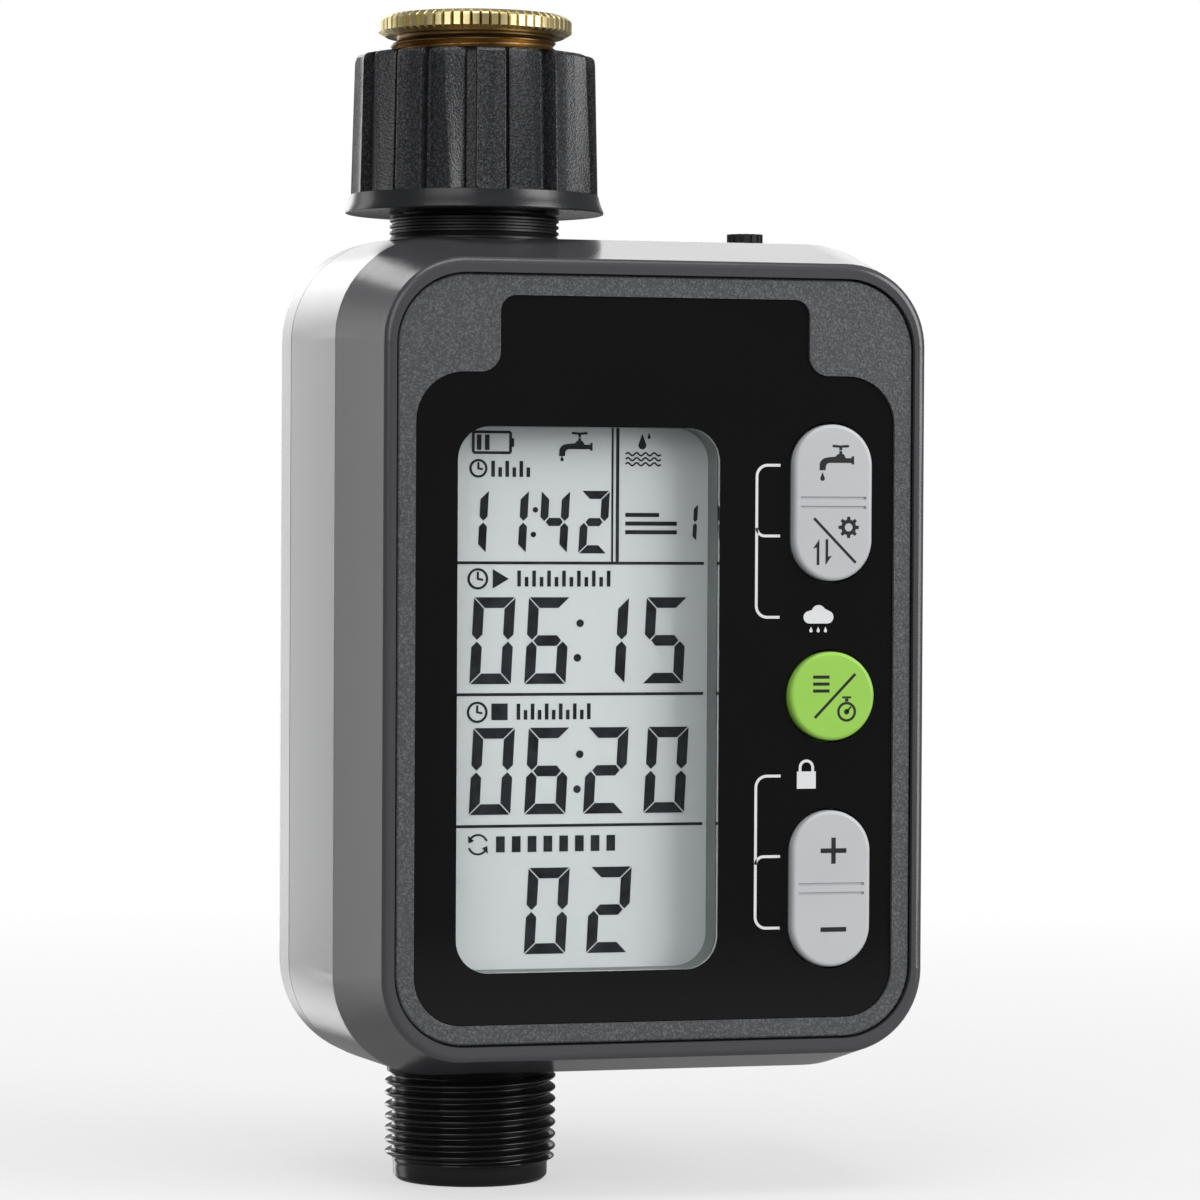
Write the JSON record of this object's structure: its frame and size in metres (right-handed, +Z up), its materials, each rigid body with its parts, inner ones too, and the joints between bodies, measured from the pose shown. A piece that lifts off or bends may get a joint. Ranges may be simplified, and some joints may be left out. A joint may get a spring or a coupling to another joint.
{
  "type": "drip irrigation timer",
  "caption": "Tap-mounted electronic water timer: grey case with display and keys, ribbed swivel inlet nut with brass adapter, threaded outlet, motor ball valve and battery drawer.",
  "frame": {"origin": "centre of the inlet mouth, at the top face of the brass adapter", "axes": "+Z up along the water path against the flow, display faces -Y, +X towards the sensor socket"},
  "size_m": [0.092, 0.0574, 0.1793],
  "materials": {
    "case_grey": "fine-textured satin moulding",
    "frame_grey": "speckled matt moulding",
    "panel_black": "polished black with printed icons",
    "clear_lens": "clear window",
    "lcd_surround": "pale moulding",
    "lcd_cell": "reflective display with dark segments",
    "key_grey": "satin key caps",
    "key_green": "satin key cap",
    "silicone": "soft sheet",
    "board_green": "solder mask",
    "black_plastic": "fine-textured moulding",
    "chip_black": "epoxy",
    "brass": "turned and knurled",
    "steel": "plated",
    "white_plastic": "natural gear plastic",
    "black_rubber": "matt seal",
    "cell_jacket": "printed sleeve and plated ends",
    "lead_jacket": "insulated wire"
  },
  "bodies": {
    "case": {"front_shell": "case_grey", "rear_cover": "case_grey", "shell_gasket": "black_rubber", "case_screws": "steel", "face_frame": "frame_grey", "display_panel": "panel_black", "window_lens": "clear_lens", "lcd_surround": "lcd_surround", "lcd_glass": "lcd_cell", "zebra_strips": "silicone", "keypad_mat": "silicone", "main_board": "board_green", "board_screws": "steel", "tact_switches": "chip_black", "controller_chip": "chip_black", "board_parts": "chip_black", "buzzer": "chip_black", "nut_retaining_ring": "white_plastic", "inlet_washer": "black_rubber", "filter_screen": "steel", "inlet_spigot": "black_plastic", "spigot_oring": "black_rubber", "neck_seal": "black_rubber", "spigot_clip": "steel", "valve_body": "black_plastic", "outlet_seal": "black_rubber", "ball_seats": "white_plastic", "drive_plate": "steel", "drive_screws": "steel", "gearbox": "black_plastic", "motor": "steel", "limit_switches": "chip_black", "battery_bay": "black_plastic", "bay_screws": "steel", "bay_contacts": "brass", "sensor_socket": "black_plastic", "motor_lead": "lead_jacket", "battery_lead": "lead_jacket", "sensor_lead": "lead_jacket"},
    "swivel_nut": {"swivel_nut": "black_plastic"},
    "adapter_seal": {"adapter_washer": "black_rubber"},
    "adapter": {"brass_adapter": "brass"},
    "upper_key": {"upper_rocker_key": "key_grey"},
    "round_key": {"mode_key": "key_green"},
    "lower_key": {"lower_rocker_key": "key_grey"},
    "drawer": {"battery_drawer": "black_plastic", "drawer_gasket": "black_rubber", "battery_cells": "cell_jacket", "cell_contacts": "brass"},
    "valve_rotor": {"valve_ball": "steel", "valve_stem": "steel", "stem_orings": "black_rubber", "stem_gear": "white_plastic", "stem_cam": "white_plastic"},
    "pinion": {"drive_pinion": "white_plastic"},
    "sensor_plug": {"sensor_plug": "black_rubber"}
  },
  "joints": [
    {"name": "nut_spin", "type": "hinge", "parent": "case", "child": "swivel_nut", "pos_m": [0, 0, -0.0182], "axis": [0, 0, 1], "continuous": true},
    {"name": "adapter_rise", "type": "slide", "parent": "swivel_nut", "child": "adapter_seal", "axis": [0, 0, 1], "range_m": [0, 0.0091]},
    {"name": "adapter_turn", "type": "hinge", "parent": "adapter_seal", "child": "adapter", "pos_m": [0, 0, -0.008], "axis": [0, 0, 1], "range_deg": [0, 1800]},
    {"name": "upper_key_tilt", "type": "hinge", "parent": "case", "child": "upper_key", "pos_m": [0.0478, -0.0285, -0.0746], "axis": [1, 0, 0], "range_deg": [-2, 2], "stiffness_Nm_per_rad": 0.5},
    {"name": "round_key_press", "type": "slide", "parent": "case", "child": "round_key", "axis": [0, 1, 0], "range_m": [0, 0.00035], "stiffness_N_per_m": 800},
    {"name": "lower_key_tilt", "type": "hinge", "parent": "case", "child": "lower_key", "pos_m": [0.0478, -0.0285, -0.1329], "axis": [1, 0, 0], "range_deg": [-2, 2], "stiffness_Nm_per_rad": 0.5},
    {"name": "valve_turn", "type": "hinge", "parent": "case", "child": "valve_rotor", "pos_m": [0.021, 0, -0.082], "axis": [1, 0, 0], "range_deg": [0, 90]},
    {"name": "pinion_spin", "type": "hinge", "parent": "case", "child": "pinion", "pos_m": [0.021, 0, -0.0624], "axis": [1, 0, 0], "range_deg": [-270, 0]},
    {"name": "drawer_slide", "type": "slide", "parent": "case", "child": "drawer", "axis": [0, 0, -1], "range_m": [0, 0.06]},
    {"name": "sensor_plug_pull", "type": "slide", "parent": "case", "child": "sensor_plug", "axis": [0, 0, 1], "range_m": [0, 0.0105]}
  ],
  "couplings": [
    {"joint": "adapter_rise", "follows": "adapter_turn", "m_per_rad": 0.00028871},
    {"joint": "pinion_spin", "follows": "valve_turn", "ratio": -3}
  ]
}
